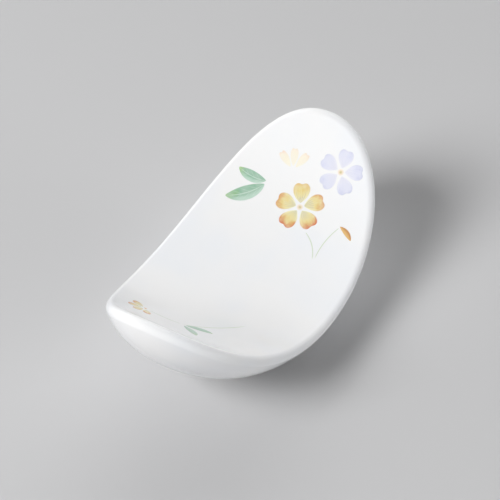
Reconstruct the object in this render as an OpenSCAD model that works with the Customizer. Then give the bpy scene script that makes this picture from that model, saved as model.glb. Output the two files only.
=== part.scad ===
// Porcelain chopstick rest: an oval plate with a round rim and a hull-shaped belly,
// curled up at both tips and standing on a low oval foot. A clear glaze covers all but
// the foot's ring, and a spray of blossoms is printed in enamel near each tip.
//
// The plate is described flat, as a place [along, across] with a height above its middle
// surface, and curl() then bends every point up along the length. +X points to the tip
// with the large spray, +Z is up, and the foot stands on z = 0.

/* [Plate] */
// Length of the plate along its curl, tip to tip
plate_l = 62.4; // [57:0.2:69]
// Width of the plate across its middle
plate_w = 30; // [27:0.2:33]
// Thickness of the round rim
rim_t = 1.9; // [1.5:0.1:2.6]
// Thickness through the middle, hollow to belly
middle_t = 6.8; // [5.8:0.1:8.5]
// Power of the belly's curve, where 2 is a parabola and more is fuller
belly_power = 3.8; // [2:0.1:5]
// How far the long sides rise above the middle line
dish_h = 0.8; // [0:0.1:1.4]
// Power of the oval outline, where 2 is an ellipse
outline_power = 2.13; // [2:0.01:2.4]

/* [Curl] */
// Slope at the tip with the large spray, in degrees
far_tip_angle = 62.5; // [54:0.5:68]
// Slope at the tip with the small spray, in degrees
near_tip_angle = 57.5; // [50:0.5:62]
// Share of the curl that eases off towards the tips
curl_ease_share = 0.06; // [0:0.01:0.25]

/* [Foot] */
// Length of the foot's oval ring
foot_l = 20; // [17:0.5:22]
// Width of the foot's oval ring
foot_w = 11; // [9.5:0.5:13]
// Width of the bare ring that touches the table
foot_land = 1.6; // [1.2:0.1:2]
// How far the ring stands out below the belly
foot_h = 0.6; // [0.4:0.1:1]
// How far the ring's outer wall spreads towards the belly
foot_flare = 0.8; // [0.5:0.1:1.2]
// Depth of the recess inside the ring
recess_h = 0.8; // [0.5:0.1:1.2]
// How far the recess wall leans in
recess_lean_w = 0.4; // [0.2:0.1:0.6]

/* [Glaze and enamel] */
// Thickness of the glaze
glaze_t = 0.2; // [0.15:0.01:0.3]
// Thickness of a printed enamel layer
enamel_t = 0.05; // [0.04:0.01:0.08]
// Clearance under each enamel layer
enamel_gap = 0.06; // [0.05:0.01:0.08]

/* [Large spray] */
// Length of an amber petal
amber_petal_l = 3.4; // [2.6:0.1:3.6]
// Width of an amber petal
amber_petal_w = 3.6; // [2.6:0.1:3.8]
// Length of a lilac petal
lilac_petal_l = 3.1; // [2.4:0.1:3.3]
// Width of a lilac petal
lilac_petal_w = 3.3; // [2.4:0.1:3.4]
// Length of a petal of the half-open peach bud
peach_petal_l = 3; // [2.2:0.1:3.4]
// Width of a petal of the half-open peach bud
peach_petal_w = 1.7; // [1.2:0.1:1.8]
// Diameter of the eye of a blossom
eye_d = 1.1; // [0.8:0.1:1.3]
// Length of the longer leaf of the large spray
leaf_l = 6.4; // [5:0.1:6.8]
// Width of the longer leaf of the large spray
leaf_w = 2.6; // [1.8:0.1:2.8]
// Length of the closed orange bud
bud_l = 3; // [2.2:0.1:3.4]
// Width of the closed orange bud
bud_w = 0.95; // [0.7:0.05:1.2]

/* [Small spray] */
// Length of the small amber blossom's petals
small_petal_l = 2.1; // [1.6:0.1:2.3]
// Width of the small amber blossom's petals
small_petal_w = 1.6; // [1.1:0.1:1.8]
// Length of a leaf of the small spray
small_leaf_l = 4; // [3:0.1:4.4]
// Width of a leaf of the small spray
small_leaf_w = 1.4; // [1:0.1:1.6]

/* [Lines] */
// Width of a stem line
stem_w = 0.24; // [0.16:0.02:0.32]
// Width of the fine strokes on petals and leaves
stroke_w = 0.16; // [0.1:0.02:0.2]

/* [Hidden] */

half_l = plate_l / 2;
half_w = plate_w / 2;
rim_r = rim_t / 2;
// Depth of the belly's lowest point below the middle surface
belly_h = middle_t - rim_r;
// Height of the middle surface over the table, at the foot's centre
middle_z = foot_h + belly_h;
// Mean slope of the two tips, and how far the two differ from it
tip_angle = (far_tip_angle + near_tip_angle) / 2;
tip_lean = (far_tip_angle - near_tip_angle) / 2;
// Below the middle surface, lengths near the foot grow by this factor as the plate curls
belly_stretch = 1 + belly_h * tip_angle * PI / 180 / (1 - curl_ease_share) / half_l;

// Facets: round the outline, and rings across the hollow, the rim and the belly
segment_count = 64;
hollow_ring_count = 9;
rim_ring_count = 5;
belly_ring_count = 6;
// The belly's rings stand closer near the rim, where it bends more
belly_ring_power = 1.4;
// Weights of Simpson's rule, over an even number of steps
simpson_weights = [1, 4, 2, 4, 2, 4, 1];
simpson_steps = len(simpson_weights) - 1;

// The curl

// Slope of the middle surface at u, which runs from -1 to 1 along the plate
function slope(u) =
    tip_angle * (u - curl_ease_share * pow(u, 3)) / (1 - curl_ease_share) + tip_lean * u * u;

// Place of the middle line at u, by summing the slope's cosine and sine from the middle
function middle_line(u) = half_l * u / (3 * simpson_steps)
    * (simpson_weights * [for (i = [0:simpson_steps]) let (a = slope(u * i / simpson_steps)) [cos(a), sin(a)]]);

// Curls the flat point p = [along, across] at height h above the middle surface
function curl(p, h) = let (
        u = p[0] / half_l,
        a = slope(u),
        line = middle_line(u),
        lift = h + dish_h * pow(p[1] / half_w, 2))
    [line[0] - lift * sin(a), p[1], middle_z + line[1] + lift * cos(a)];

// The outline

function signed_power(v, p) = sign(v) * pow(abs(v), p);
function outline(t) = [half_l * signed_power(cos(t), 2 / outline_power),
    half_w * signed_power(sin(t), 2 / outline_power)];
function outward(t) = let (
        e = 2 - 2 / outline_power,
        n = [signed_power(cos(t), e) / half_l, signed_power(sin(t), e) / half_w])
    n / norm(n);
// Centre of the rim's round, which lies inside the outline by its radius
function rim_line(t) = outline(t) - rim_r * outward(t);
// Distance from the middle to the rim line's tangent
function reach(t) = rim_line(t) * outward(t);

// The belly falls away from the rim, and leaves the rim's round at this tilt
function rim_tilt(t) = atan(belly_power * (belly_h - rim_r) / reach(t));
// Height of the belly on the line from the rim (r = 1) to the middle (r = 0), skin deep
function belly_height(t, r, skin) = let (
        rim_h = rim_r / cos(rim_tilt(t)),
        fall = belly_h - rim_h,
        tilt = atan(belly_power * fall * pow(r, belly_power - 1) / reach(t)))
    skin / cos(tilt) - rim_h - fall * (1 - pow(r, belly_power));

// Share of the way to the rim at which the belly meets the foot's wall
foot_reach = [(foot_l / 2 + foot_flare) / belly_stretch, foot_w / 2 + foot_flare];
function foot_share(t) = let (p = rim_line(t)) 1 / norm([p[0] / foot_reach[0], p[1] / foot_reach[1]]);
function foot_edge(t, skin) =
    curl(rim_line(t) * foot_share(t), belly_height(t, foot_share(t), skin));
// Point at height z on an oval round the foot's centre, in the foot edge's direction
function foot_oval(t, half, z) = let (
        e = foot_edge(t, glaze_t),
        p = [e[0], e[1]] / norm([e[0] / half[0], e[1] / half[1]]))
    [p[0], p[1], z];
land_half = [foot_l / 2, foot_w / 2];
recess_half = land_half - [foot_land, foot_land];
floor_half = recess_half - [recess_lean_w, recess_lean_w];

// Rings of points from the hollow's middle over the rim to the foot's edge, skin deep
angles = [for (i = [0:segment_count - 1]) 360 * i / segment_count];
function hollow_ring(r, skin) = [for (t = angles) curl(rim_line(t) * r, rim_r - skin)];
function rim_ring(share, skin) = [for (t = angles)
    let (a = 90 - share * (180 - rim_tilt(t)), r = rim_r - skin)
    curl(rim_line(t) + outward(t) * r * cos(a), r * sin(a))];
function belly_ring(share, skin) = [for (t = angles)
    let (r = 1 - pow(share, belly_ring_power) * (1 - foot_share(t)))
    curl(rim_line(t) * r, belly_height(t, r, skin))];
function shell_rings(skin) = [
    for (i = [1:hollow_ring_count]) hollow_ring(i / hollow_ring_count, skin),
    for (i = [1:rim_ring_count]) rim_ring(i / rim_ring_count, skin),
    for (i = [1:belly_ring_count]) belly_ring(i / belly_ring_count, skin)];
function foot_ring(half, z) = [for (t = angles) foot_oval(t, half, z)];

// The plate's two ends lie at unlike distances from the foot, so the origin is moved to
// the middle of the whole length
rim_x = [for (i = [0:rim_ring_count]) for (p = rim_ring(i / rim_ring_count, 0)) p[0]];
middle_x = (max(rim_x) + min(rim_x)) / 2;

function turned(list) = [for (i = [len(list) - 1:-1:0]) list[i]];
function flat(lists) = [for (list = lists) for (item = list) item];

// Closes a pole, a stack of rings and another pole into one solid. From the ring numbered
// inner on, the strips take the other diagonal, so that an inner wall matches an outer one
module loft(first, rings, last, inner) {
    n = len(rings[0]);
    count = len(rings);
    points = concat(flat(rings), [first, last]);
    top_pole = len(points) - 2;
    end_pole = len(points) - 1;
    function at(k, i) = k * n + i % n;
    faces = [
        for (i = [0:n - 1]) [top_pole, at(0, i + 1), at(0, i)],
        for (k = [0:count - 2]) for (i = [0:n - 1])
            let (a = at(k, i), b = at(k, i + 1), c = at(k + 1, i + 1), d = at(k + 1, i))
            each (k < inner ? [[a, b, c], [a, c, d]] : [[a, b, d], [b, c, d]]),
        for (i = [0:n - 1]) [end_pole, at(count - 1, i), at(count - 1, i + 1)]];
    translate([-middle_x, 0, 0]) polyhedron(points, faces, convexity = 6);
}

// The porcelain

module porcelain_body() {
    color([0.93, 0.92, 0.90])
        loft(curl([0, 0], rim_r - glaze_t),
            concat(shell_rings(glaze_t),
                [foot_ring(land_half, 0), foot_ring(recess_half, 0), foot_ring(floor_half, recess_h)]),
            [0, 0, recess_h],
            segment_count);
}

module glaze_coat() {
    outer = shell_rings(0);
    color([0.96, 0.97, 0.98])
        loft(curl([0, 0], rim_r),
            concat(outer, turned(shell_rings(glaze_t))),
            curl([0, 0], rim_r - glaze_t),
            len(outer));
}

module foot_recess_glaze() {
    color([0.92, 0.94, 0.95])
        translate([-middle_x, 0, recess_h - glaze_t])
            linear_extrude(glaze_t)
                polygon([for (p = foot_ring(floor_half, recess_h)) [p[0], p[1]]]);
}

// The enamel: every printed shape is a blade, a strip with an axis and a width

// Rows and columns of a blade
blade_row_count = 8;
blade_column_count = 4;
small_row_count = 6;
small_column_count = 2;
// Share of a blade's length that is left off at each end, so that it closes bluntly
blade_cut_share = 0.03;

function turn(p, a) = [p[0] * cos(a) - p[1] * sin(a), p[0] * sin(a) + p[1] * cos(a)];
function on_plate(share) = [share[0] * half_l, share[1] * half_w];

// Grid of flat points: a blade from base in direction a, l long and w wide. Its axis bows
// by bow; ends of power 0.5 are round and of power 1 are pointed, and lean moves the
// widest place outward. from_share and to_share take only a stretch of it
function blade(base, a, l, w, bow = 0, ends = 0.5, lean = 0, from_share = 0, to_share = 1,
        rows = blade_row_count, cols = blade_column_count) = [
    for (i = [0:rows]) let (
            eased = (1 - cos(180 * i / rows)) / 2,
            start = max(from_share, blade_cut_share),
            stop = min(to_share, 1 - blade_cut_share),
            u = start + (stop - start) * eased,
            side = [-4 * bow * (1 - 2 * u), l],
            half = w / 2 * pow(4 * u * (1 - u), ends) * pow(u, lean))
        [for (j = [0:cols])
            base + turn([l * u, 4 * bow * u * (1 - u)] + side / norm(side) * half * (2 * j / cols - 1), a)]];

// Solid of one blade, laid on the hollow in printing layer 0 or 1
module enamel(grid, layer = 0) {
    rows = len(grid);
    cols = len(grid[0]);
    low = rim_r + enamel_gap + layer * (enamel_t + enamel_gap);
    flat_points = flat(grid);
    count = len(flat_points);
    points = concat(
        [for (p = flat_points) curl(p, low + enamel_t)],
        [for (p = flat_points) curl(p, low)]);
    edge = concat(
        [for (i = [0:rows - 2]) i * cols],
        [for (j = [0:cols - 2]) (rows - 1) * cols + j],
        [for (i = [rows - 1:-1:1]) i * cols + cols - 1],
        [for (j = [cols - 1:-1:1]) j]);
    faces = [
        for (i = [0:rows - 2]) for (j = [0:cols - 2])
            let (a = i * cols + j, b = a + 1, c = b + cols, d = a + cols)
            each [[a, b, c], [a, c, d], [count + a, count + c, count + b], [count + a, count + d, count + c]],
        for (k = [0:len(edge) - 1])
            let (a = edge[k], b = edge[(k + 1) % len(edge)])
            each [[a, b, count + b], [a, count + b, count + a]]];
    translate([-middle_x, 0, 0]) polyhedron(points, faces, convexity = 4);
}

// Petals stand round an eye with a thin bare ring between
eye_ring_share = 1.25;
petal_count = 5;
petal_lean_power = 0.35;
function petal_angle(first, k) = first + 360 * k / petal_count;
function petal(centre, a, l, w, from_share = 0, to_share = 1, rows = blade_row_count) =
    blade(centre + turn([eye_d / 2 * eye_ring_share, 0], a), a, l, w,
        lean = petal_lean_power, from_share = from_share, to_share = to_share, rows = rows);

// Places of the large spray, as shares of the plate's half length and half width
amber_place_share = [0.505, -0.08];
lilac_place_share = [0.742, -0.34];
peach_place_share = [0.665, 0.15];
leaf_place_share = [0.565, 0.33];
bud_place_share = [0.485, -0.56];
stem_root_share = [0.27, -0.46];
amber_angle = 18;
lilac_angle = 0;
peach_angles = [-24, 14, 52];
leaf_angles = [84, 130];
leaf_sizes_share = [0.76, 1];
bud_angle = -122;

// Fine strokes fan out over a petal
stroke_angles = [-9, 0, 9];
stroke_from_share = 0.1;
stroke_to_share = 0.5;
edge_from_share = 0.72;
module petal_strokes(centre, first, l) {
    for (k = [0:petal_count - 1]) for (fan = stroke_angles)
        enamel(blade(centre + turn([eye_d / 2 * eye_ring_share, 0], petal_angle(first, k) + fan),
            petal_angle(first, k) + fan, l, stroke_w,
            from_share = stroke_from_share, to_share = stroke_to_share, rows = 3, cols = 1), 1);
}

module amber_blossom_petals() {
    color([0.96, 0.85, 0.52])
        for (k = [0:petal_count - 1])
            enamel(petal(on_plate(amber_place_share), petal_angle(amber_angle, k),
                amber_petal_l, amber_petal_w));
}

module amber_petal_edges() {
    color([0.90, 0.56, 0.27])
        for (k = [0:petal_count - 1])
            enamel(petal(on_plate(amber_place_share), petal_angle(amber_angle, k), amber_petal_l, amber_petal_w,
                from_share = edge_from_share, rows = 4), 1);
}

module amber_petal_strokes() {
    color([0.62, 0.48, 0.42])
        petal_strokes(on_plate(amber_place_share), amber_angle, amber_petal_l);
}

module lilac_blossom_petals() {
    color([0.86, 0.85, 0.95])
        for (k = [0:petal_count - 1])
            enamel(petal(on_plate(lilac_place_share), petal_angle(lilac_angle, k),
                lilac_petal_l, lilac_petal_w));
}

module lilac_petal_strokes() {
    color([0.72, 0.72, 0.88])
        petal_strokes(on_plate(lilac_place_share), lilac_angle, lilac_petal_l);
}

module peach_bud_petals() {
    color([0.98, 0.90, 0.80])
        for (a = peach_angles)
            enamel(petal(on_plate(peach_place_share), a, peach_petal_l, peach_petal_w));
}

module eye(place_share) {
    centre = on_plate(place_share);
    enamel(blade(centre - [eye_d / 2, 0], 0, eye_d, eye_d, rows = small_row_count, cols = small_column_count));
}

module blossom_eyes() {
    color([0.97, 0.93, 0.82]) {
        eye(amber_place_share);
        eye(lilac_place_share);
    }
}

// Leaves spring from one place, each set off from it by a stalk
stalk_share = 0.12;
leaf_bow_share = 0.08;
vein_angle = 38;
vein_length_share = 0.22;
vein_places_share = [0.3, 0.5, 0.7];
function leaf_base(root, a, l) = root + turn([l * stalk_share, 0], a);
module leaf(root, a, l, w) {
    enamel(blade(leaf_base(root, a, l), a, l, w, bow = leaf_bow_share * l, ends = 0.8));
}
module leaf_veins(root, a, l) {
    base = leaf_base(root, a, l);
    enamel(blade(base, a, l, stroke_w, bow = leaf_bow_share * l, from_share = 0.05, to_share = 0.9,
        cols = 1), 1);
    for (u = vein_places_share) for (side = [-1, 1])
        enamel(blade(base + turn([u * l, 4 * leaf_bow_share * l * u * (1 - u) + side * stroke_w], a),
            a + side * vein_angle, l * vein_length_share, stroke_w / 2, rows = 3, cols = 1), 1);
}

module large_leaves() {
    color([0.55, 0.76, 0.62])
        for (k = [0:len(leaf_angles) - 1])
            leaf(on_plate(leaf_place_share), leaf_angles[k],
                leaf_l * leaf_sizes_share[k], leaf_w * leaf_sizes_share[k]);
}

module large_leaf_veins() {
    color([0.80, 0.90, 0.84])
        for (k = [0:len(leaf_angles) - 1])
            leaf_veins(on_plate(leaf_place_share), leaf_angles[k], leaf_l * leaf_sizes_share[k]);
}

module orange_bud() {
    color([0.85, 0.60, 0.33])
        enamel(blade(on_plate(bud_place_share), bud_angle, bud_l, bud_w, bow = bud_w / 4, ends = 0.8,
            rows = small_row_count, cols = small_column_count));
}

// Stems are long thin blades from one place to another
stem_ends_power = 0.2;
module stem(from_place, to_place, bow) {
    run = to_place - from_place;
    enamel(blade(from_place, atan2(run[1], run[0]), norm(run), stem_w,
        bow = bow, ends = stem_ends_power, cols = 1));
}
// Gap from a stem's end to the petal, bud or leaf that it carries
stem_gap = 0.3;
function short_of(to_place, from_place, gap) =
    to_place - (to_place - from_place) / norm(to_place - from_place) * gap;

module large_spray_stems() {
    root = on_plate(stem_root_share);
    amber = on_plate(amber_place_share);
    bloom_r = eye_d / 2 * eye_ring_share + amber_petal_l;
    color([0.80, 0.86, 0.72]) {
        stem(root, short_of(amber, root, bloom_r + stem_gap), -2 * stem_w);
        stem(root + [stem_gap, -stem_gap], short_of(on_plate(bud_place_share), root, stem_gap), 2 * stem_w);
    }
}

// The small spray

small_place_share = [-0.575, 0.46];
small_leaf_place_share = [-0.56, 0.06];
small_root_share = [-0.3, -0.36];
small_petal_angles = [70, 118, 166, 214];
small_leaf_angles = [-128, -72];

module small_blossom_petals() {
    color([0.93, 0.74, 0.45])
        for (a = small_petal_angles)
            enamel(blade(on_plate(small_place_share) + turn([eye_d / 2, 0], a), a,
                small_petal_l, small_petal_w, lean = petal_lean_power, rows = small_row_count));
}

module small_blossom_eye() {
    color([0.86, 0.55, 0.30])
        enamel(blade(on_plate(small_place_share) - [eye_d / 4, 0], 0, eye_d / 2, eye_d / 2,
            rows = small_row_count, cols = small_column_count));
}

module small_leaves() {
    color([0.66, 0.80, 0.68])
        for (a = small_leaf_angles) leaf(on_plate(small_leaf_place_share), a, small_leaf_l, small_leaf_w);
}

module small_leaf_veins() {
    color([0.82, 0.90, 0.84])
        for (a = small_leaf_angles) leaf_veins(on_plate(small_leaf_place_share), a, small_leaf_l);
}

module small_spray_stems() {
    root = on_plate(small_root_share);
    fork = on_plate(small_leaf_place_share);
    bloom = on_plate(small_place_share);
    color([0.80, 0.86, 0.72]) {
        stem(root, short_of(fork, root, stem_gap), stem_w);
        stem(short_of(fork, bloom, stem_gap), short_of(bloom, fork, eye_d / 2 + stem_gap), stem_w);
    }
}

porcelain_body();
glaze_coat();
foot_recess_glaze();
amber_blossom_petals();
amber_petal_edges();
amber_petal_strokes();
lilac_blossom_petals();
lilac_petal_strokes();
peach_bud_petals();
blossom_eyes();
large_leaves();
large_leaf_veins();
orange_bud();
large_spray_stems();
small_blossom_petals();
small_blossom_eye();
small_leaves();
small_leaf_veins();
small_spray_stems();
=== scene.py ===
import math

import bpy
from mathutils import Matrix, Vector


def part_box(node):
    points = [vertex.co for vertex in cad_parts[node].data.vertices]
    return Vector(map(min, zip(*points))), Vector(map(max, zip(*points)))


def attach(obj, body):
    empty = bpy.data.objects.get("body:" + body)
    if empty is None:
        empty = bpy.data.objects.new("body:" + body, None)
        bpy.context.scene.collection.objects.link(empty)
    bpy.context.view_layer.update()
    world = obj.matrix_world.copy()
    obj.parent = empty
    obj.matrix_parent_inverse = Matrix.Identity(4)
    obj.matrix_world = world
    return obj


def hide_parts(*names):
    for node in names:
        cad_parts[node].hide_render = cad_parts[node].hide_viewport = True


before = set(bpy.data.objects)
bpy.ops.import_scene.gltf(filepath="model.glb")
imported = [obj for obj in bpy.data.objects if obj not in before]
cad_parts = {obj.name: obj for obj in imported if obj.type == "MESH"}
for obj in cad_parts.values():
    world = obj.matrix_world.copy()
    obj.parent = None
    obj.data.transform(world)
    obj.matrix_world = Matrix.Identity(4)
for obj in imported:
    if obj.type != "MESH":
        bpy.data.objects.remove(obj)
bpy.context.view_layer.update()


# The porcelain body
# The rest is one pressed piece of white porcelain: an oval plate with a round rim and a
# hull-shaped belly, curled up at both tips while the clay was soft. It stands on a low
# oval ring, wiped bare so that it doesn't stick in the kiln.

MM = 0.001
# The plate is a hair shorter and narrower than its solid, to stay inside the solid's box
PLATE_HALF_L = 31.17 * MM
PLATE_HALF_W = 14.98 * MM
RIM_R = 0.95 * MM
BELLY_H = 5.85 * MM
BELLY_POWER = 3.8
DISH_H = 0.8 * MM
OUTLINE_POWER = 2.13
TIP_ANGLE = math.radians(60)
TIP_LEAN = math.radians(2.5)
CURL_EASE_SHARE = 0.06
FOOT_HALF_L = 10 * MM
FOOT_HALF_W = 5.5 * MM
FOOT_LAND = 1.6 * MM
FOOT_H = 0.6 * MM
FOOT_FLARE = 0.8 * MM
FOOT_ROUND = 0.25 * MM
RECESS_H = 0.8 * MM
RECESS_LEAN = 0.4 * MM
GLAZE_T = 0.2 * MM
MIDDLE_Z = FOOT_H + BELLY_H
BELLY_STRETCH = 1 + BELLY_H * TIP_ANGLE / (1 - CURL_EASE_SHARE) / PLATE_HALF_L
# The foot's middle, which the recess's glaze shows
FOOT_X = sum(corner.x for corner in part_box("foot_recess_glaze")) / 2

# Facets round the outline, and steps over the hollow, the rim, the belly and the foot
SEGMENTS = 224
HOLLOW_STEPS = 34
# The last step of the hollow is split close to its edge, where the rim's round begins
HOLLOW_SHARES = [i / HOLLOW_STEPS for i in range(HOLLOW_STEPS)] + [0.996, 1]
RIM_STEPS = 20
BELLY_STEPS = 20
ROUND_STEPS = 4
FLOOR_STEPS = 6
# Steps of the sum that follows the curl, an even number
CURL_STEPS = 12


def slope(u):
    """Slope of the plate at u, which runs from -1 to 1 along its length."""
    eased = (u - CURL_EASE_SHARE * u ** 3) / (1 - CURL_EASE_SHARE)
    return TIP_ANGLE * eased + TIP_LEAN * u * u


def middle_line(u):
    """Place of the plate's middle line at u, summed from the middle by Simpson's rule."""
    x = z = 0
    for i in range(CURL_STEPS + 1):
        weight = 1 if i in (0, CURL_STEPS) else 4 if i % 2 else 2
        x += weight * math.cos(slope(u * i / CURL_STEPS))
        z += weight * math.sin(slope(u * i / CURL_STEPS))
    step = PLATE_HALF_L * u / (3 * CURL_STEPS)
    return x * step, z * step


def curl(along, across, height):
    """A point of the flat plate, at its height over the middle surface, curled into place."""
    u = along / PLATE_HALF_L
    x, z = middle_line(u)
    lift = height + DISH_H * (across / PLATE_HALF_W) ** 2
    a = slope(u)
    return Vector((FOOT_X + x - lift * math.sin(a), across, MIDDLE_Z + z + lift * math.cos(a)))


def signed_power(value, power):
    """A power that keeps the value's sign, for the oval's outline."""
    return math.copysign(abs(value) ** power, value)


def rim_line(t):
    """Centre of the rim's round at t, an angle round the outline, and the way out there."""
    c, s = math.cos(t), math.sin(t)
    e = 2 - 2 / OUTLINE_POWER
    out = Vector((signed_power(c, e) / PLATE_HALF_L, signed_power(s, e) / PLATE_HALF_W)).normalized()
    e = 2 / OUTLINE_POWER
    edge = Vector((PLATE_HALF_L * signed_power(c, e), PLATE_HALF_W * signed_power(s, e)))
    return edge - out * RIM_R, out


def rim_tilt(t):
    """Angle from the rim's level at which its round meets the belly."""
    line, out = rim_line(t)
    return math.atan(BELLY_POWER * (BELLY_H - RIM_R) / line.dot(out))


def belly_height(t, r, skin):
    """Height of the belly over the middle surface, set in by skin, at r from the middle, 0,
    to the rim's line, 1. It is below 0 all over."""
    line, out = rim_line(t)
    rim_h = RIM_R / math.cos(rim_tilt(t))
    fall = BELLY_H - rim_h
    tilt = math.atan(BELLY_POWER * fall * r ** (BELLY_POWER - 1) / line.dot(out))
    return skin / math.cos(tilt) - rim_h - fall * (1 - r ** BELLY_POWER)


def foot_share(t):
    """Where the belly meets the foot's wall, as a share of the way out to the rim's line."""
    line = rim_line(t)[0]
    half_l = (FOOT_HALF_L + FOOT_FLARE) / BELLY_STRETCH
    return 1 / math.hypot(line.x / half_l, line.y / (FOOT_HALF_W + FOOT_FLARE))


def skin_section(t, skin):
    """Points from the hollow's middle over the rim and down the belly to the foot's edge,
    all set in from the surface by skin."""
    line, out = rim_line(t)
    points = []
    for share in HOLLOW_SHARES:
        p = line * share
        points.append(curl(p.x, p.y, RIM_R - skin))
    for i in range(1, RIM_STEPS + 1):
        a = math.pi / 2 - i / RIM_STEPS * (math.pi - rim_tilt(t))
        p = line + out * (RIM_R - skin) * math.cos(a)
        points.append(curl(p.x, p.y, (RIM_R - skin) * math.sin(a)))
    for i in range(1, BELLY_STEPS + 1):
        r = 1 - i / BELLY_STEPS * (1 - foot_share(t))
        points.append(curl(line.x * r, line.y * r, belly_height(t, r, skin)))
    return points


def foot_section(t):
    """Points from the foot's edge down its wall, over the bare ring and into the recess."""
    edge = skin_section(t, GLAZE_T)[-1]
    aim = Vector((edge.x - FOOT_X, edge.y))

    def oval(inset, z):
        half_l, half_w = FOOT_HALF_L - inset, FOOT_HALF_W - inset
        p = aim / math.hypot(aim.x / half_l, aim.y / half_w)
        return Vector((FOOT_X + p.x, p.y, z))

    turns = [math.pi / 2 * i / ROUND_STEPS for i in range(ROUND_STEPS + 1)]
    r = FOOT_ROUND
    wall = [edge.lerp(oval(0, r), i / ROUND_STEPS) for i in range(1, ROUND_STEPS)]
    outer = [oval(r - r * math.cos(a), r - r * math.sin(a)) for a in turns]
    inner = [oval(FOOT_LAND - r + r * math.sin(a), r - r * math.cos(a)) for a in turns]
    corner = FOOT_LAND + RECESS_LEAN
    fillet = [oval(corner - r + r * (1 - math.cos(a)), RECESS_H - r + r * math.sin(a)) for a in turns]
    rim = fillet[-1]
    middle = Vector((FOOT_X, 0, RECESS_H))
    floor = [rim.lerp(middle, i / FLOOR_STEPS) for i in range(1, FLOOR_STEPS + 1)]
    return wall + outer + inner + fillet + floor


def deselect_all():
    bpy.ops.object.select_all(action="DESELECT")


def pressed(name, section):
    """A ball of clay pressed to a section: each of its rings takes the section's next point."""
    deselect_all()
    rings = len(section(0)) - 1
    bpy.ops.mesh.primitive_uv_sphere_add(segments=SEGMENTS, ring_count=rings, radius=1)
    piece = bpy.context.object
    piece.name = name
    cuts = {}
    for v in piece.data.vertices:
        # Rounded, so that all the points under one another share a cut
        t = round(math.atan2(v.co.y, v.co.x), 5)
        if t not in cuts:
            cuts[t] = section(t)
        polar = math.acos(max(-1, min(1, v.co.z)))
        v.co = cuts[t][round(polar / math.pi * rings)]
    bpy.ops.object.shade_smooth()
    return piece


body = pressed("biscuit_body", lambda t: skin_section(t, GLAZE_T) + foot_section(t))


class Value:
    """A socket of a material's nodes. Arithmetic on it adds Math nodes."""

    def __init__(self, finish, socket):
        self.finish, self.socket = finish, socket

    def math(self, operation, *values):
        return self.finish.math(operation, *values)

    def __add__(self, other):
        return self.math("ADD", self, other)

    def __sub__(self, other):
        return self.math("SUBTRACT", self, other)

    def __rsub__(self, other):
        return self.math("SUBTRACT", other, self)

    def __mul__(self, other):
        return self.math("MULTIPLY", self, other)

    def __truediv__(self, other):
        return self.math("DIVIDE", self, other)

    def __pow__(self, other):
        return self.math("POWER", self, other)

    def __abs__(self):
        return self.math("ABSOLUTE", self)

    __radd__, __rmul__ = __add__, __mul__


class Finish:
    """One material, named for what it is on the rest."""

    def __init__(self, name, **shader_values):
        self.material = bpy.data.materials.new(name)
        self.material.use_nodes = True
        self.tree = self.material.node_tree
        self.shader = self.tree.nodes["Principled BSDF"]
        for key, value in shader_values.items():
            self.shader.inputs[key.replace("_", " ")].default_value = value

    def node(self, kind, settings, inputs, output=0):
        made = self.tree.nodes.new(kind)
        for key, value in settings.items():
            setattr(made, key, value)
        for key, value in inputs.items():
            if isinstance(value, Value):
                self.tree.links.new(value.socket, made.inputs[key])
            else:
                made.inputs[key].default_value = value
        return Value(self, made.outputs[output])

    def math(self, operation, *values):
        return self.node("ShaderNodeMath", {"operation": operation}, dict(enumerate(values)))

    def feed(self, name, value):
        self.tree.links.new(value.socket, self.shader.inputs[name])

    def place(self):
        return self.node("ShaderNodeTexCoord", {}, {}, "Object")

    def along_and_across(self):
        """The piece's own map: along it from 0 to 1, and across it from -1 to 1."""
        uv = self.node("ShaderNodeTexCoord", {}, {}, "UV")
        along = self.node("ShaderNodeSeparateXYZ", {}, {0: uv}, "X")
        across = self.node("ShaderNodeSeparateXYZ", {}, {0: uv}, "Y")
        return along, across * 2 - 1

    def noise(self, grain, detail, where=None):
        """Soft noise from 0 to 1 whose lumps are about one grain across."""
        where = where or self.place()
        return self.node("ShaderNodeTexNoise", {}, {"Vector": where, "Scale": 1 / grain, "Detail": detail})

    def ease(self, value, low, high):
        """0 up to low, 1 from high, and a smooth step between."""
        return self.node(
            "ShaderNodeMapRange",
            {"interpolation_type": "SMOOTHSTEP"},
            {0: value, 1: low, 2: high, 3: 0.0, 4: 1.0},
        )

    def mix(self, first, second, share):
        return self.node("ShaderNodeMix", {"data_type": "RGBA"}, {0: share, 6: first, 7: second}, 2)

    def bump(self, height, depth):
        """Raises the surface by up to a depth where the height goes from 0 to 1."""
        raised = self.node("ShaderNodeBump", {}, {"Height": height, "Distance": depth, "Strength": 1.0})
        self.feed("Normal", raised)


def shade(*levels):
    """A colour by its screen levels, over 10 of 255, as the light values that a shader takes."""
    return tuple(((level / 255 + 0.055) / 1.055) ** 2.4 for level in levels) + (1.0,)


BISCUIT = shade(233, 229, 220)
BISCUIT_DARK = shade(214, 206, 192)
BISCUIT_GRAIN = 0.25 * MM
BISCUIT_GRAIN_DEPTH = 0.03 * MM
BISCUIT_CLOUD = 3 * MM
biscuit = Finish("bare porcelain")
cloud = biscuit.noise(BISCUIT_CLOUD, 4.0)
grain = biscuit.noise(BISCUIT_GRAIN, 3.0)
stained = biscuit.ease(cloud * 0.7 + grain * 0.3, 0.45, 0.8)
biscuit.feed("Base Color", biscuit.mix(BISCUIT, BISCUIT_DARK, stained))
biscuit.feed("Roughness", 0.6 + grain * 0.3)
biscuit.bump(grain, BISCUIT_GRAIN_DEPTH)
body.data.materials.append(biscuit.material)
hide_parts("porcelain_body")
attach(body, "root")


# The glaze
# A clear glaze, poured over the bisque-fired body and wiped off the foot, so that the
# white body shows through it under a wet gloss. It ends in a soft bead above the foot.

BEAD_STEPS = 5


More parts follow.
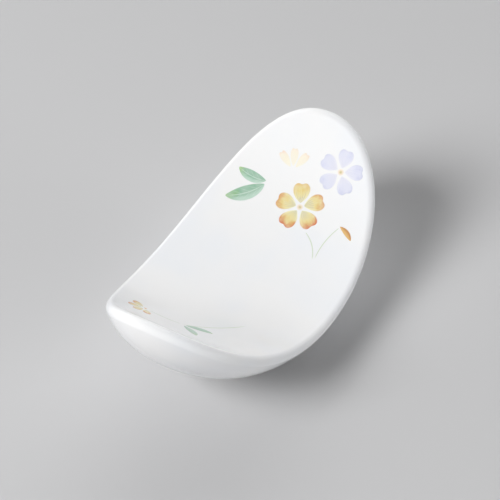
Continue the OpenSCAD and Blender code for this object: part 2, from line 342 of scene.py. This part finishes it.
def glaze_section(t):
    """Points over the glaze's outside, round its bead at the foot, and back along its inside."""
    outer = skin_section(t, 0)
    inner = skin_section(t, GLAZE_T)
    bead_from, bead_to = outer[-1], inner[-1]
    middle = (bead_from + bead_to) / 2
    half = (bead_from - bead_to) / 2
    onward = (outer[-1] - outer[-2]).normalized() * half.length
    bead = []
    for i in range(1, BEAD_STEPS):
        a = math.pi * i / BEAD_STEPS
        bead.append(middle + half * math.cos(a) + onward * math.sin(a))
    return outer + bead + inner[::-1]


GLAZE_WHITE = shade(247, 247, 247)
GLAZE_COOL = shade(243, 245, 248)
GLAZE_RIPPLE = 7 * MM
GLAZE_RIPPLE_DEPTH = 0.02 * MM
GLAZE_CLOUD = 12 * MM


def glazed(name):
    """A finish under clear glaze: a smooth glossy coat over a faint ripple from the firing."""
    made = Finish(name, Roughness=0.45, Coat_Weight=0.8, Coat_Roughness=0.08, Coat_IOR=1.5)
    made.bump(made.noise(GLAZE_RIPPLE, 1.0), GLAZE_RIPPLE_DEPTH)
    return made


glaze_coat = pressed("glaze_coat_skin", glaze_section)
glaze = glazed("clear glaze on white")
cloud = glaze.noise(GLAZE_CLOUD, 2.0)
glaze.feed("Base Color", glaze.mix(GLAZE_WHITE, GLAZE_COOL, glaze.ease(cloud, 0.35, 0.7)))
glaze_coat.data.materials.append(glaze.material)
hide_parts("glaze_coat")
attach(glaze_coat, "root")


# The glaze in the foot's recess
# What was left inside the ring after wiping: a thin pool of the same glaze, fused to the
# recess's floor, with a soft edge.

POOL_SIDES = 96
POOL_INSET = 0.3 * MM
POOL_ROUND = 0.12 * MM
POOL_ROUND_STEPS = 3
# Faces that meet at less than this angle are shaded as one surface
SMOOTH_UNDER = math.radians(50)

deselect_all()
low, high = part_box("foot_recess_glaze")
pool_half = (high - low) / 2
bpy.ops.mesh.primitive_circle_add(vertices=POOL_SIDES, radius=1, fill_type="NGON")
pool = bpy.context.object
pool.name = "foot_recess_pool"
bpy.ops.object.mode_set(mode="EDIT")
bpy.ops.mesh.select_all(action="SELECT")
bpy.ops.transform.resize(value=(pool_half.x, pool_half.y, 1))
bpy.ops.transform.translate(value=((low.x + high.x) / 2, 0, high.z))
bpy.ops.mesh.extrude_region_move(TRANSFORM_OT_translate={"value": (0, 0, -2 * pool_half.z)})
bpy.ops.mesh.inset(thickness=POOL_INSET)
bpy.ops.mesh.select_all(action="SELECT")
bpy.ops.mesh.normals_make_consistent(inside=False)
bpy.ops.object.mode_set(mode="OBJECT")
bevel = pool.modifiers.new("soft edge", "BEVEL")
bevel.width = POOL_ROUND
bevel.segments = POOL_ROUND_STEPS
bevel.limit_method = "ANGLE"
bpy.ops.object.modifier_apply(modifier=bevel.name)
bpy.ops.object.shade_smooth_by_angle(angle=SMOOTH_UNDER)
pool.data.materials.append(glaze.material)
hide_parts("foot_recess_glaze")
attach(pool, "root")


# The large spray's blossoms
# The prints are enamel transfers, fired onto the glaze in flat washes of colour like
# brushed ink. Each petal is a thin patch that follows the hollow.

PRINT_T = 0.022 * MM
# Fired enamel melts into the glaze and stands out of it by a hair
PRINT_SUNK = 0.01 * MM
# A patch stops this share of its length short of both its ends, so that none ends in a point
BLADE_CUT_SHARE = 0.002
# How much fuller a petal is towards its tip, and how deep and wide its tip is notched
PETAL_LEAN = 0.35
NOTCH_SHARE = 0.1
NOTCH_SPREAD_SHARE = 0.35
EYE_D = 1.1 * MM
# The petals start at this distance from a blossom's middle
EYE_RING = EYE_D / 2 * 1.25
# Places are shares of the plate's half length and half width, counted from its middle
PETAL_TURNS = [360 * k / 5 for k in range(5)]
AMBER_PLACE = (0.505, -0.08)
AMBER_ANGLES = [18 + turn for turn in PETAL_TURNS]
AMBER_L = 3.4 * MM
AMBER_W = 3.6 * MM
LILAC_PLACE = (0.742, -0.34)
LILAC_L = 3.1 * MM
LILAC_W = 3.3 * MM
PEACH_PLACE = (0.665, 0.15)
PEACH_ANGLES = (-24, 14, 52)
PEACH_L = 3 * MM
PEACH_W = 1.7 * MM
# Grains of the ragged borders and of the washes, and of the brush, whose grain is a share
# of the patch and is drawn out along it
RAGGED_GRAIN = 0.4 * MM
WASH_GRAIN = 1.1 * MM
BRUSH_GRAIN_SHARE = 0.4
BRUSH_DRAWN = (0.9, 5.0, 1.0)
# Where the fine strokes lie across a petal, whose sides are at -1 and 1
STROKE_SIDES = (-0.5, -0.22, 0.05, 0.3, 0.55)


def on_plate(place):
    return Vector((place[0] * PLATE_HALF_L, place[1] * PLATE_HALF_W))


def turned(along, across, degrees):
    """A step on the flat plate, turned round by an angle."""
    a = math.radians(degrees)
    return Vector((along * math.cos(a) - across * math.sin(a), along * math.sin(a) + across * math.cos(a)))


def blade(base, degrees, length, width, bow=0, ends=0.5, lean=0, notch=0, rows=36, columns=18):
    """A flat patch that runs out from base at an angle: a grid, drawn in to the outline of a
    petal, a leaf or a stem. It can bow sideways, lean its width to the tip and have a notch."""
    deselect_all()
    bpy.ops.mesh.primitive_grid_add(x_subdivisions=rows, y_subdivisions=columns, size=1)
    patch = bpy.context.object
    for v in patch.data.vertices:
        eased = (1 - math.cos(math.pi * (v.co.x + 0.5))) / 2
        u = BLADE_CUT_SHARE + (1 - 2 * BLADE_CUT_SHARE) * eased
        fullness = (4 * u * (1 - u)) ** ends * u ** lean
        side = 2 * v.co.y * fullness
        normal = Vector((-4 * bow * (1 - 2 * u), length)).normalized()
        dent = notch * length * u ** 3 * math.exp(-(side / NOTCH_SPREAD_SHARE) ** 2)
        along = length * u - dent + normal.x * width / 2 * side
        across = 4 * bow * u * (1 - u) + normal.y * width / 2 * side
        place = base + turned(along, across, degrees)
        v.co = (place.x, place.y, 0)
    return patch


def petals_round(centre, angles, length, width):
    return [
        blade(centre + turned(EYE_RING, 0, a), a, length, width, lean=PETAL_LEAN, notch=NOTCH_SHARE)
        for a in angles]


def tone(patches, values):
    """Gives each patch its own tone, which its material reads as an attribute."""
    for patch, value in zip(patches, values):
        layer = patch.data.attributes.new("tone", "FLOAT", "POINT")
        layer.data.foreach_set("value", [value] * len(layer.data))


def printed(name, patches):
    """Joins flat patches into one print, gives it its thickness and lays it on the hollow."""
    deselect_all()
    for patch in patches:
        patch.select_set(True)
    bpy.context.view_layer.objects.active = patches[0]
    bpy.ops.object.join()
    piece = bpy.context.object
    piece.name = name
    enamel = piece.modifiers.new("enamel", "SOLIDIFY")
    enamel.thickness = PRINT_T
    enamel.offset = 1
    bpy.ops.object.modifier_apply(modifier=enamel.name)
    for v in piece.data.vertices:
        v.co = curl(v.co.x, v.co.y, RIM_R - PRINT_SUNK + v.co.z)
    bpy.ops.object.shade_smooth_by_angle(angle=SMOOTH_UNDER)
    return piece


def feathered(finish, along, across, soft):
    """1 inside a patch and 0 at its ragged border, where the wash runs out to bare glaze."""
    ragged = (finish.noise(RAGGED_GRAIN, 3.0) - 0.5) * 0.3
    side = 1 - abs(across)
    ends = finish.math("MINIMUM", (1 - along) * 1.8, along * 3)
    return finish.ease(finish.math("MINIMUM", side, ends) + ragged * soft, 0.02, 0.02 + soft)


def brushed(finish):
    """Noise drawn out along the patch, as the hairs of a brush leave it."""
    uv = finish.node("ShaderNodeTexCoord", {}, {}, "UV")
    drawn = finish.node("ShaderNodeMapping", {}, {"Vector": uv, "Scale": BRUSH_DRAWN})
    return finish.noise(BRUSH_GRAIN_SHARE, 3.0, drawn)


def petal_finish(name, throat, wash, edge, stroke, reach, stroke_depth):
    """A wash that pales towards the eye, a deeper colour drawn in from the tip, and fine
    strokes out of the eye. A petal's own tone says how far in the deeper colour comes."""
    made = glazed(name)
    along, across = made.along_and_across()
    petal_tone = made.node("ShaderNodeAttribute", {"attribute_name": "tone"}, {}, "Fac")
    hairs = brushed(made)
    drift = made.noise(WASH_GRAIN, 3.0)
    colour = made.mix(throat, wash, made.ease(along + (hairs - 0.5) * 0.5, 0.12, 0.62))
    outward = along + across ** 2 * 0.22 + (hairs - 0.5) * 0.45 + (drift - 0.5) * 0.5
    colour = made.mix(colour, edge, made.ease(outward, 1.12 - reach, 1.3 - reach * 0.55) * petal_tone)
    fan = sum(1 - made.ease(abs(across - side), 0.015, 0.085) for side in STROKE_SIDES)
    fan = fan * (1 - made.ease(along + (drift - 0.5) * 0.5, 0.22, 0.52)) * stroke_depth
    colour = made.mix(colour, stroke, fan)
    thin = 0.88 + (drift - 0.5) * 0.5
    made.feed("Base Color", made.mix(GLAZE_WHITE, colour, feathered(made, along, across, 0.16) * thin))
    return made


amber_petals = petals_round(on_plate(AMBER_PLACE), AMBER_ANGLES, AMBER_L, AMBER_W)
tone(amber_petals, (0.3, 0.6, 1.0, 1.0, 0.7))
amber = printed("amber_blossom", amber_petals)
amber_enamel = petal_finish(
    "amber enamel", throat=shade(243, 238, 190), wash=shade(233, 213, 130),
    edge=shade(210, 104, 34), stroke=shade(128, 108, 100), reach=0.62, stroke_depth=0.68)
amber.data.materials.append(amber_enamel.material)
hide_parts("amber_blossom_petals", "amber_petal_edges", "amber_petal_strokes")
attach(amber, "root")

lilac_petals = petals_round(on_plate(LILAC_PLACE), PETAL_TURNS, LILAC_L, LILAC_W)
tone(lilac_petals, (0.5, 0.4, 0.6, 0.9, 1.0))
lilac = printed("lilac_blossom", lilac_petals)
lilac_enamel = petal_finish(
    "lilac enamel", throat=shade(238, 238, 247), wash=shade(222, 224, 242),
    edge=shade(198, 201, 228), stroke=shade(182, 184, 216), reach=0.5, stroke_depth=0.5)
lilac.data.materials.append(lilac_enamel.material)
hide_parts("lilac_blossom_petals", "lilac_petal_strokes")
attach(lilac, "root")

peach_petals = petals_round(on_plate(PEACH_PLACE), PEACH_ANGLES, PEACH_L, PEACH_W)
tone(peach_petals, (0.6, 0.4, 0.8))
peach = printed("peach_bud", peach_petals)
peach_enamel = petal_finish(
    "peach enamel", throat=shade(251, 248, 228), wash=shade(249, 241, 220),
    edge=shade(246, 218, 196), stroke=shade(240, 218, 196), reach=0.5, stroke_depth=0.4)
peach.data.materials.append(peach_enamel.material)
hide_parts("peach_bud_petals")
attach(peach, "root")


# The eyes of the blossoms
# A small spot of cream enamel in each blossom, with a few specks and a soft border that
# runs out to the ring of bare glaze between the eye and the petals.

EYE_SIDES = 40
EYE_SPECK = 0.25 * MM


def disc(centre, diameter):
    deselect_all()
    bpy.ops.mesh.primitive_circle_add(vertices=EYE_SIDES, radius=diameter / 2, fill_type="TRIFAN")
    spot = bpy.context.object
    bpy.ops.object.mode_set(mode="EDIT")
    bpy.ops.mesh.select_all(action="SELECT")
    bpy.ops.mesh.subdivide(number_cuts=2)
    bpy.ops.transform.translate(value=(centre.x, centre.y, 0))
    bpy.ops.object.mode_set(mode="OBJECT")
    return spot


def eye_finish(name, heart, ring):
    """A spot that changes colour from its heart to its ring."""
    made = glazed(name)
    uv = made.node("ShaderNodeTexCoord", {}, {}, "UV")
    middle = (0.5, 0.5, 0)
    out = made.node("ShaderNodeVectorMath", {"operation": "DISTANCE"}, {0: uv, 1: middle}, "Value") * 2
    mottle = made.noise(EYE_SPECK, 3.0)
    colour = made.mix(heart, ring, made.ease(out + mottle * 0.4, 0.35, 0.8))
    made.feed("Base Color", made.mix(colour, GLAZE_WHITE, made.ease(out, 0.7, 0.98)))
    return made


eyes = printed("blossom_eye_spots", [
    disc(on_plate(place), EYE_D) for place in (AMBER_PLACE, LILAC_PLACE)])
eye_enamel = eye_finish("cream enamel", heart=shade(214, 200, 150), ring=shade(246, 232, 214))
eyes.data.materials.append(eye_enamel.material)
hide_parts("blossom_eyes")
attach(eyes, "root")


# The leaves, the bud and the stems of the large spray
# Enamel patches like the petals: green washes with the veins left pale, a closed bud in
# orange, and stems as thin as pencil lines.

LEAF_PLACE = (0.565, 0.33)
LEAF_ANGLES = (84, 130)
LEAF_SIZE_SHARES = (0.76, 1)
LEAF_L = 6.4 * MM
LEAF_W = 2.6 * MM
LEAF_BOW_SHARE = 0.08
LEAF_STALK_SHARE = 0.12
LEAF_WASH_GRAIN = 1.2 * MM
# Side veins along a leaf, as shares of its length
VEIN_STEP_SHARE = 0.07
VEIN_SLANT_SHARE = 0.2
BUD_PLACE = (0.485, -0.56)
BUD_ANGLE = -122
BUD_L = 3 * MM
BUD_W = 0.95 * MM
STEM_ROOT = (0.27, -0.46)
STEM_W = 0.24 * MM
STEM_GAP = 0.3 * MM


def leaf(root, degrees, length, width):
    base = root + turned(length * LEAF_STALK_SHARE, 0, degrees)
    return blade(base, degrees, length, width, bow=LEAF_BOW_SHARE * length, ends=0.8)


def leaf_finish(name, wash, tip, pale, vein):
    """A wash that turns yellower at the tip and pales on one side, with its veins left light."""
    made = glazed(name)
    along, across = made.along_and_across()
    hairs = brushed(made)
    drift = made.noise(LEAF_WASH_GRAIN, 3.0)
    colour = made.mix(wash, tip, made.ease(along + (drift - 0.5) * 0.6, 0.6, 1.0))
    light_side = made.ease(across + (hairs - 0.5) * 0.8, 0.0, 0.7) * (1 - made.ease(along, 0.55, 0.85))
    colour = made.mix(colour, pale, light_side * 0.75)
    midrib = 1 - made.ease(abs(across), 0.02, 0.11)
    ribs = made.math("PINGPONG", along - abs(across) * VEIN_SLANT_SHARE, VEIN_STEP_SHARE) / VEIN_STEP_SHARE
    side_veins = (1 - made.ease(ribs, 0.03, 0.3)) * (1 - made.ease(abs(across), 0.45, 0.9)) * 0.4
    veins = made.math("MAXIMUM", midrib, side_veins) * (1 - made.ease(along, 0.8, 1.0))
    colour = made.mix(colour, vein, veins * 0.7)
    thin = 0.86 + (drift - 0.5) * 0.5
    made.feed("Base Color", made.mix(GLAZE_WHITE, colour, feathered(made, along, across, 0.14) * thin))
    return made


leaves = printed("large_leaf_pair", [
    leaf(on_plate(LEAF_PLACE), a, LEAF_L * share, LEAF_W * share)
    for a, share in zip(LEAF_ANGLES, LEAF_SIZE_SHARES)])
leaf_enamel = leaf_finish(
    "green enamel", wash=shade(128, 180, 148), tip=shade(156, 196, 112),
    pale=shade(192, 221, 204), vein=shade(212, 230, 218))
leaves.data.materials.append(leaf_enamel.material)
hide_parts("large_leaves", "large_leaf_veins")
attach(leaves, "root")

bud = printed("closed_orange_bud", [
    blade(on_plate(BUD_PLACE), BUD_ANGLE, BUD_L, BUD_W, bow=BUD_W / 4, ends=0.8)])
bud_enamel = glazed("orange enamel")
along, across = bud_enamel.along_and_across()
colour = bud_enamel.mix(shade(226, 186, 120), shade(198, 140, 78), bud_enamel.ease(across, -0.4, 0.6))
inside = feathered(bud_enamel, along, across, 0.22)
bud_enamel.feed("Base Color", bud_enamel.mix(GLAZE_WHITE, colour, inside))
bud.data.materials.append(bud_enamel.material)
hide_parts("orange_bud")
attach(bud, "root")


def stem(start, stop, bow):
    run = stop - start
    degrees = math.degrees(math.atan2(run.y, run.x))
    return blade(start, degrees, run.length, STEM_W, bow=bow, ends=0.2, rows=32, columns=3)


def short_of(stop, start, gap):
    """The place that lies a gap before stop on the way from start."""
    return stop - (stop - start).normalized() * gap


root = on_plate(STEM_ROOT)
under_amber = short_of(on_plate(AMBER_PLACE), root, EYE_RING + AMBER_L + STEM_GAP)
under_bud = short_of(on_plate(BUD_PLACE), root, STEM_GAP)
stems = printed("large_spray_stem_lines", [
    stem(root, under_amber, -2 * STEM_W),
    stem(root + Vector((STEM_GAP, -STEM_GAP)), under_bud, 2 * STEM_W)])
stem_enamel = glazed("pale green enamel")
along, across = stem_enamel.along_and_across()
inside = (1 - stem_enamel.ease(abs(across), 0.3, 1.0)) * stem_enamel.ease(along, 0.0, 0.25)
stem_enamel.feed("Base Color", stem_enamel.mix(GLAZE_WHITE, shade(212, 224, 204), inside))
stems.data.materials.append(stem_enamel.material)
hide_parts("large_spray_stems")
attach(stems, "root")


# The small spray
# A few patches of the same enamels near the other tip: a side-on amber blossom with its eye,
# two small leaves and their stems.

SMALL_PLACE = (-0.575, 0.46)
SMALL_LEAF_PLACE = (-0.56, 0.06)
SMALL_ROOT = (-0.3, -0.36)
SMALL_PETAL_ANGLES = (70, 118, 166, 214)
SMALL_LEAF_ANGLES = (-128, -72)
SMALL_PETAL_L = 2.1 * MM
SMALL_PETAL_W = 1.6 * MM
SMALL_LEAF_L = 4 * MM
SMALL_LEAF_W = 1.4 * MM

small_place = on_plate(SMALL_PLACE)
small_petals = [
    blade(small_place + turned(EYE_D / 2, 0, a), a, SMALL_PETAL_L, SMALL_PETAL_W, lean=PETAL_LEAN)
    for a in SMALL_PETAL_ANGLES]
tone(small_petals, (0.8, 1.0, 0.7, 0.9))
small_blossom = printed("small_amber_blossom", small_petals)
small_blossom.data.materials.append(amber_enamel.material)
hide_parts("small_blossom_petals")
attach(small_blossom, "root")

small_eye = printed("small_blossom_eye_spot", [disc(small_place, EYE_D / 2)])
small_eye_enamel = eye_finish("small eye enamel", heart=shade(214, 150, 96), ring=shade(236, 190, 130))
small_eye.data.materials.append(small_eye_enamel.material)
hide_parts("small_blossom_eye")
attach(small_eye, "root")

small_leaves = printed("small_leaf_pair", [
    leaf(on_plate(SMALL_LEAF_PLACE), a, SMALL_LEAF_L, SMALL_LEAF_W) for a in SMALL_LEAF_ANGLES])
small_leaves.data.materials.append(leaf_enamel.material)
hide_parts("small_leaves", "small_leaf_veins")
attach(small_leaves, "root")

root = on_plate(SMALL_ROOT)
fork = on_plate(SMALL_LEAF_PLACE)
under_small = short_of(small_place, fork, EYE_D / 2 + STEM_GAP)
small_stems = printed("small_spray_stem_lines", [
    stem(root, short_of(fork, root, STEM_GAP), STEM_W),
    stem(short_of(fork, small_place, STEM_GAP), under_small, STEM_W)])
small_stems.data.materials.append(stem_enamel.material)
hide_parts("small_spray_stems")
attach(small_stems, "root")


# The table, the light and the camera
# The rest stands on a plain pale grey table, under a softbox at the upper left and the light
# that white walls throw back. The camera looks down on it past the tip with the small spray.

TABLE_SIZE = 3.0
TABLE_GREY = shade(204, 204, 205)
deselect_all()
bpy.ops.mesh.primitive_plane_add(size=TABLE_SIZE)
table = bpy.context.object
table.name = "table"
table_paint = Finish("grey table", Roughness=0.9)
table_paint.shader.inputs["Base Color"].default_value = TABLE_GREY
table.data.materials.append(table_paint.material)

VIEW_AZIMUTH = math.radians(-59.77)
VIEW_ELEVATION = math.radians(45.42)
VIEW_DISTANCE = 276.3 * MM
VIEW_CLIP = (0.01, 10)
LENS = 134.3
SENSOR_W = 36
AIM = Vector((FOOT_X, 0, MIDDLE_Z))
# The photograph's middle lies a little right of and above the point that the camera aims at
SHIFT = (0.0104, 0.0743)

back = Vector((
    math.sin(VIEW_AZIMUTH) * math.cos(VIEW_ELEVATION),
    -math.cos(VIEW_AZIMUTH) * math.cos(VIEW_ELEVATION),
    math.sin(VIEW_ELEVATION)))
bpy.ops.object.camera_add(location=AIM + back * VIEW_DISTANCE)
camera = bpy.context.object
camera.rotation_mode = "QUATERNION"
camera.rotation_quaternion = (-back).to_track_quat("-Z", "Y")
camera.data.lens = LENS
camera.data.sensor_width = SENSOR_W
camera.data.shift_x, camera.data.shift_y = SHIFT
camera.data.clip_start, camera.data.clip_end = VIEW_CLIP
bpy.context.scene.camera = camera

VIEW_RIGHT = Vector((math.cos(VIEW_AZIMUTH), math.sin(VIEW_AZIMUTH), 0))
VIEW_AWAY = Vector((-math.sin(VIEW_AZIMUTH), math.cos(VIEW_AZIMUTH), 0))


def towards(around, up):
    """A direction by its angle round from the camera's right, and its angle over the table."""
    a, e = math.radians(around), math.radians(up)
    level = VIEW_RIGHT * math.cos(a) + VIEW_AWAY * math.sin(a)
    return level * math.cos(e) + Vector((0, 0, math.sin(e)))


SOFTBOX_TOWARDS = towards(210.5, 40.5)
SOFTBOX_DISTANCE = 1.2
SOFTBOX_SIZE = 0.55
SOFTBOX_POWER = 14.2
bpy.ops.object.light_add(type="AREA", location=AIM + SOFTBOX_TOWARDS * SOFTBOX_DISTANCE)
softbox = bpy.context.object
softbox.name = "softbox"
softbox.data.size = SOFTBOX_SIZE
softbox.data.energy = SOFTBOX_POWER
softbox.rotation_mode = "QUATERNION"
softbox.rotation_quaternion = SOFTBOX_TOWARDS.to_track_quat("Z", "Y")
softbox.visible_glossy = False


class Room(Finish):
    """The light that the studio's walls throw back, by direction."""

    def __init__(self, name):
        world = bpy.data.worlds.new(name)
        world.use_nodes = True
        bpy.context.scene.world = world
        self.tree = world.node_tree
        self.shader = self.tree.nodes["Background"]
        self.shader.inputs["Color"].default_value = (1.0, 1.0, 1.0, 1.0)

    def glow(self, around, up, spread, strength):
        """A soft patch of light that fades out at an angle from its middle."""
        looking = self.node("ShaderNodeTexCoord", {}, {}, "Generated")
        middle = tuple(towards(around, up))
        near = self.node(
            "ShaderNodeVectorMath", {"operation": "DOT_PRODUCT"}, {0: looking, 1: middle}, "Value")
        return self.ease(near, math.cos(math.radians(spread)), 1.0) * strength

    def ray(self, kind):
        return self.node("ShaderNodeLightPath", {}, {}, kind)


room = Room("white studio")
far_wall = room.glow(around=86, up=4, spread=69, strength=2.15)
right_wall = room.glow(around=341, up=0, spread=21, strength=9.5)
near_wall = room.glow(around=250, up=0, spread=30, strength=0.6)
light = far_wall + right_wall + near_wall
# The camera and the gloss see the plain wall itself
WALL_WHITE = 0.9
seen = room.ray("Is Camera Ray") + room.ray("Is Glossy Ray")
room.feed("Strength", light * (1 - seen) + seen * WALL_WHITE)

bpy.context.scene.view_settings.view_transform = "Standard"
